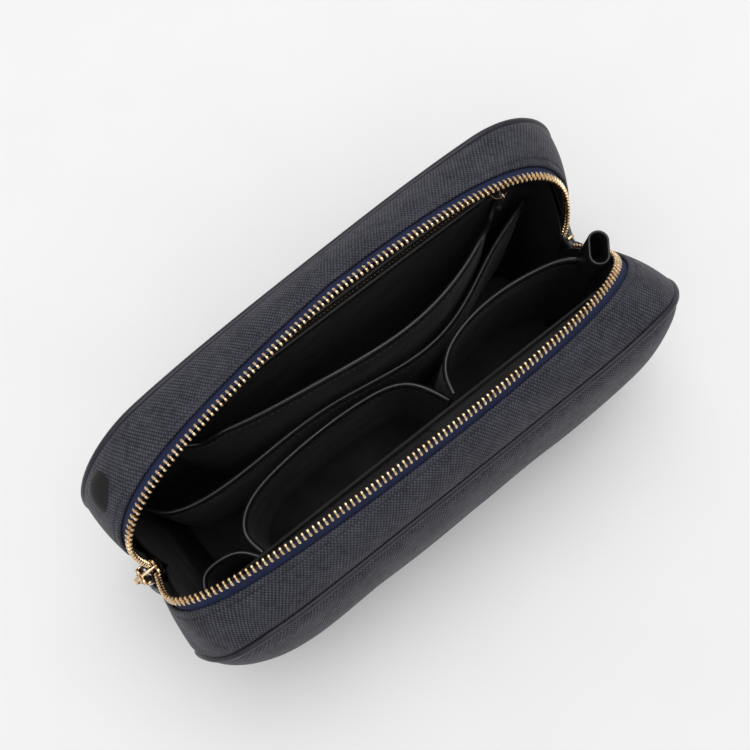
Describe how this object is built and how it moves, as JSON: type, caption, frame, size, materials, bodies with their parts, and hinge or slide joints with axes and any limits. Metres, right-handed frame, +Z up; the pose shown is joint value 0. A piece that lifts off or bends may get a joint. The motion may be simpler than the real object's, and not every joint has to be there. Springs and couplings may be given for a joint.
{
  "type": "cable organizer pouch",
  "caption": "Zipped leather pouch with piped walls, a wide two-ended zip mouth and lined slip pockets that sort cables, chargers, a phone and a notebook.",
  "frame": {"origin": "middle of the base, on the surface that the pouch stands on", "axes": "+X along the pouch towards the stopped end of the zip, +Y towards the taller back wall, +Z up out of the mouth"},
  "size_m": [0.2704, 0.1203, 0.1475],
  "materials": {
    "exterior_leather": "satin, crossgrain",
    "piping_leather": "satin, crossgrain",
    "zip_tape": "woven matte",
    "zip_metal": "polished",
    "inner_metal": "polished, darkened",
    "lining": "matte, fine grain",
    "binding_leather": "smooth satin",
    "board": "matte"
  },
  "bodies": {
    "pouch": {"back_panel": "exterior_leather", "back_piping": "piping_leather", "back_strip_left": "exterior_leather", "back_strip_right": "exterior_leather", "back_tape_left": "zip_tape", "back_tape_right": "zip_tape", "back_teeth_left": "zip_metal", "back_teeth_right": "zip_metal", "base_board": "board", "cable_pocket": "lining", "cable_pocket_binding": "binding_leather", "coin_pocket": "lining", "coin_pocket_binding": "binding_leather", "earbud_pocket": "lining", "earbud_pocket_binding": "binding_leather", "front_panel": "exterior_leather", "front_piping": "piping_leather", "front_strip_left": "exterior_leather", "front_strip_right": "exterior_leather", "front_tape_left": "zip_tape", "front_tape_right": "zip_tape", "front_teeth_left": "zip_metal", "front_teeth_right": "zip_metal", "gusset_base": "exterior_leather", "gusset_left": "exterior_leather", "gusset_right": "exterior_leather", "inner_zip_bag": "lining", "inner_zip_tapes": "zip_tape", "inner_zip_teeth": "inner_metal", "inner_zip_welt": "binding_leather", "lining_back": "lining", "lining_base": "lining", "lining_front": "lining", "lining_left": "lining", "lining_right": "lining", "notebook_pocket": "lining", "notebook_pocket_binding": "binding_leather", "pen_loop": "binding_leather", "phone_pocket": "lining", "phone_pocket_binding": "binding_leather", "zip_end_stop": "zip_metal", "zip_end_tab": "exterior_leather"},
    "front_rim": {"front_strip_mid": "exterior_leather", "front_tape_mid": "zip_tape", "front_teeth_mid": "zip_metal"},
    "back_rim": {"back_strip_mid": "exterior_leather", "back_tape_mid": "zip_tape", "back_teeth_mid": "zip_metal"},
    "main_slider": {"main_slider": "zip_metal"},
    "main_puller": {"main_puller": "zip_metal"},
    "pull_tab": {"pull_tab": "exterior_leather"},
    "inner_slider": {"inner_slider": "inner_metal"},
    "inner_puller": {"inner_puller": "inner_metal"}
  },
  "joints": [
    {"name": "front_edge_fold", "type": "hinge", "parent": "pouch", "child": "front_rim", "pos_m": [0, -0.0536, 0.113], "axis": [-1, 0, 0], "range_deg": [0, 35]},
    {"name": "back_edge_fold", "type": "hinge", "parent": "pouch", "child": "back_rim", "pos_m": [0, 0.0563, 0.13], "axis": [0.9993, 0.0365, 0], "range_deg": [0, 12]},
    {"name": "slider_run", "type": "slide", "parent": "pouch", "child": "main_slider", "axis": [0, 0, 1], "range_m": [0, 0.008]},
    {"name": "puller_swing", "type": "hinge", "parent": "main_slider", "child": "main_puller", "pos_m": [-0.1308, -0.001, 0.101], "axis": [0, 1, 0], "range_deg": [0, 110]},
    {"name": "tab_swing", "type": "hinge", "parent": "main_puller", "child": "pull_tab", "pos_m": [-0.1308, -0.001, 0.0896], "axis": [0, 1, 0], "range_deg": [0, 60]},
    {"name": "inner_slider_run", "type": "slide", "parent": "pouch", "child": "inner_slider", "axis": [-1, 0, 0], "range_m": [0, 0.15]},
    {"name": "inner_puller_swing", "type": "hinge", "parent": "inner_slider", "child": "inner_puller", "pos_m": [0.0845, 0.0312, 0.122], "axis": [-1, 0, 0], "range_deg": [0, 100]}
  ]
}
